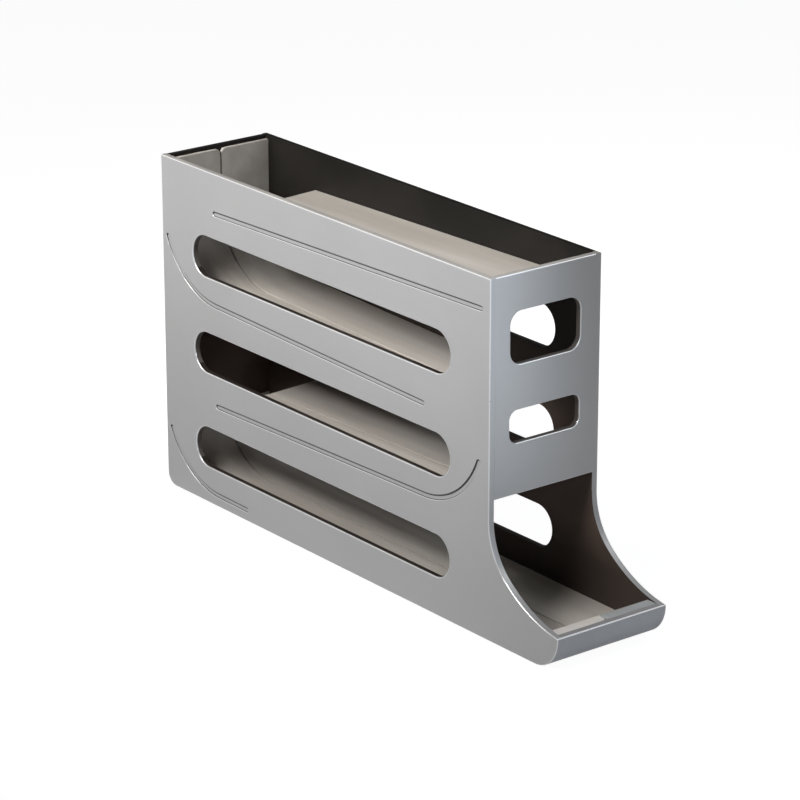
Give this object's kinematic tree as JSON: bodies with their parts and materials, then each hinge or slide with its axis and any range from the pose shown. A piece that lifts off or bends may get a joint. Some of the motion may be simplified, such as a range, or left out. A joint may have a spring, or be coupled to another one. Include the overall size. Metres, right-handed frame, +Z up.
{
  "type": "egg dispenser",
  "caption": "Tall narrow case with slotted silver side panels, windowed front, sloping light-grey rails inside that let eggs roll from tier to tier, and a low open tray at the mouth.",
  "frame": {"origin": "middle of the case's footprint, on the plane that the foot pads rest on", "axes": "+Z up; the mouth and the front tray look along -Y, the back panel along +Y; left means -X, on the left when one faces the mouth, right means +X"},
  "size_m": [0.08, 0.3754, 0.2138],
  "materials": {
    "shell_silver": "satin silver-grey, metallic look",
    "rail_plastic": "fine satin, warm light grey",
    "lip_pad_soft": "matte, soft, light grey",
    "foot_pad_soft": "matte, dark grey"
  },
  "bodies": {
    "root": {"side_panel_left": "shell_silver", "side_panel_right": "shell_silver", "front_panel": "shell_silver", "back_panel": "shell_silver", "base_tray": "shell_silver", "tier_1_rail_left": "rail_plastic", "tier_1_rail_right": "rail_plastic", "tier_2_rail_left": "rail_plastic", "tier_2_rail_right": "rail_plastic", "tier_3_rail_left": "rail_plastic", "tier_3_rail_right": "rail_plastic", "tier_4_rail_left": "rail_plastic", "tier_4_rail_right": "rail_plastic", "lip_pad_left": "lip_pad_soft", "lip_pad_right": "lip_pad_soft", "foot_pad_front_left": "foot_pad_soft", "foot_pad_front_right": "foot_pad_soft", "foot_pad_back_left": "foot_pad_soft", "foot_pad_back_right": "foot_pad_soft"}
  },
  "joints": []
}
